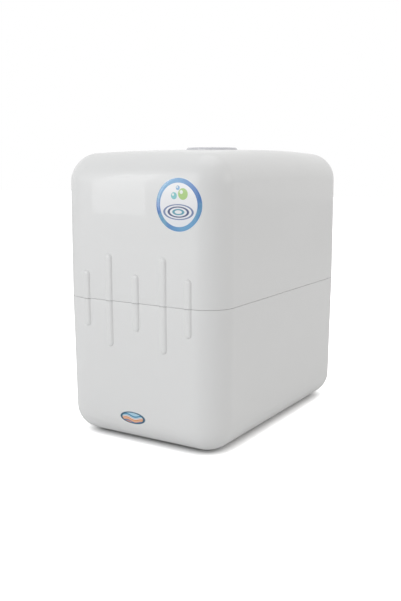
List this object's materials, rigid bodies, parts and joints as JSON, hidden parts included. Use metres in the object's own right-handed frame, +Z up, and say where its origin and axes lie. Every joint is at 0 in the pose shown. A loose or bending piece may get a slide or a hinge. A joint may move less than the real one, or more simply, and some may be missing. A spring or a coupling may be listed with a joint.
{
  "type": "water purifier",
  "caption": "Free-standing reverse-osmosis water purifier: rounded two-part casing with raised front ribs and a round top cap, holding filters, membrane, tank and rear tube ports.",
  "frame": {"origin": "middle of the bounding box in plan, at the level the feet stand on", "axes": "+Z up, front with the ribs and badges at -Y, rear with the tube ports at +Y, +X to the right seen from the front"},
  "size_m": [0.258, 0.416, 0.4073],
  "materials": {
    "casing_white": "glossy moulded ABS, warm light grey-white",
    "cap_white": "glossy moulded ABS, faintly lilac grey",
    "badge_print": null,
    "badge_oval_print": null,
    "rubber_grey": "matt silicone",
    "rubber_black": "matt rubber",
    "screw_steel": "zinc-plated steel",
    "fitting_white": "white acetal",
    "collet_blue": "blue acetal",
    "collet_grey": "grey acetal",
    "collet_red": "red acetal",
    "port_grey": "pale grey acetal",
    "canister_white": "white polypropylene",
    "membrane_wrap": "taped spiral-wound membrane",
    "sediment_media": "spun polypropylene",
    "carbon_media": "activated carbon",
    "clip_white": "white nylon",
    "tank_enamel": "white epoxy-coated steel",
    "stand_black": "black polypropylene",
    "valve_brass": "nickel-free brass",
    "cap_blue": "blue polypropylene",
    "ball_steel": "polished ball",
    "lever_blue": "blue nylon",
    "plunger_plastic": "grey acetal",
    "bracket_zinc": "galvanised sheet steel",
    "tube_white": "milky polyethylene tube",
    "tube_blue": "blue polyethylene tube",
    "tube_red": "red polyethylene tube"
  },
  "bodies": {
    "base": {"lower_casing": "casing_white", "oval_badge": "badge_oval_print", "feet": "rubber_black", "case_screws": "screw_steel", "filter_elbows": "fitting_white", "fitting_collets": "collet_blue", "membrane_housing": "canister_white", "membrane_cap": "canister_white", "membrane_element": "membrane_wrap", "membrane_seals": "rubber_black", "filter_clips": "clip_white", "clip_screws": "screw_steel", "bracket_screws": "screw_steel", "tank_lower_shell": "tank_enamel", "tank_upper_shell": "tank_enamel", "tank_bladder": "rubber_black", "tank_stand": "stand_black", "tank_air_valve": "valve_brass", "tank_valve_body": "fitting_white", "tank_valve_bonnet": "fitting_white", "shutoff_body": "fitting_white", "shutoff_cover": "fitting_white", "shutoff_diaphragm": "rubber_black", "shutoff_screws": "screw_steel", "tee_fitting": "fitting_white", "check_valve_body": "fitting_white", "flow_restrictor": "fitting_white", "port_o_rings": "rubber_black", "port_nuts": "port_grey", "feed_tube": "tube_white", "prefilter_tubes": "tube_white", "permeate_tubes": "tube_white", "product_tubes": "tube_blue", "drain_tubes": "tube_red", "front_bracket": "bracket_zinc", "rear_bracket": "bracket_zinc", "sediment_canister": "canister_white", "granular_canister": "canister_white", "block_canister": "canister_white", "post_canister": "canister_white", "sediment_core": "sediment_media", "granular_core": "carbon_media", "block_core": "carbon_media", "post_core": "carbon_media", "feed_port": "port_grey", "drain_port": "port_grey", "pure_port": "port_grey"},
    "upper_casing_shell": {"upper_casing": "casing_white", "round_badge": "badge_print"},
    "service_lid": {"service_cap": "cap_white", "cap_gasket": "rubber_grey"},
    "tank_valve_handle": {"tank_valve_ball": "ball_steel", "tank_valve_lever": "lever_blue", "lever_screw": "screw_steel"},
    "feed_release_ring": {"feed_collet": "collet_grey"},
    "drain_release_ring": {"drain_collet": "collet_red"},
    "pure_release_ring": {"pure_collet": "collet_blue"},
    "shutoff_slider": {"shutoff_plunger": "plunger_plastic"},
    "check_slider": {"check_valve_poppet": "plunger_plastic"},
    "air_valve_dust_cap": {"air_valve_cap": "cap_blue"}
  },
  "joints": [
    {"name": "upper_casing_lift", "type": "slide", "parent": "base", "child": "upper_casing_shell", "axis": [0, 0, 1], "range_m": [0, 0.205]},
    {"name": "service_cap_lift", "type": "slide", "parent": "upper_casing_shell", "child": "service_lid", "axis": [0, 0, 1], "range_m": [0, 0.05]},
    {"name": "tank_valve_turn", "type": "hinge", "parent": "base", "child": "tank_valve_handle", "pos_m": [0, -0.00725, 0.361], "axis": [0, 0, 1], "range_deg": [0, 90]},
    {"name": "feed_collet_press", "type": "slide", "parent": "base", "child": "feed_release_ring", "axis": [0, -1, 0], "range_m": [0, 0.0014]},
    {"name": "drain_collet_press", "type": "slide", "parent": "base", "child": "drain_release_ring", "axis": [0, -1, 0], "range_m": [0, 0.0014]},
    {"name": "pure_collet_press", "type": "slide", "parent": "base", "child": "pure_release_ring", "axis": [0, -1, 0], "range_m": [0, 0.0014]},
    {"name": "shutoff_plunger_lift", "type": "slide", "parent": "base", "child": "shutoff_slider", "axis": [0, 0, 1], "range_m": [0, 0.0015]},
    {"name": "check_poppet_lift", "type": "slide", "parent": "base", "child": "check_slider", "axis": [0, 0, 1], "range_m": [0, 0.002]},
    {"name": "air_cap_pull", "type": "slide", "parent": "base", "child": "air_valve_dust_cap", "axis": [0.7071, -0.7071, 0], "range_m": [0, 0.016]}
  ]
}
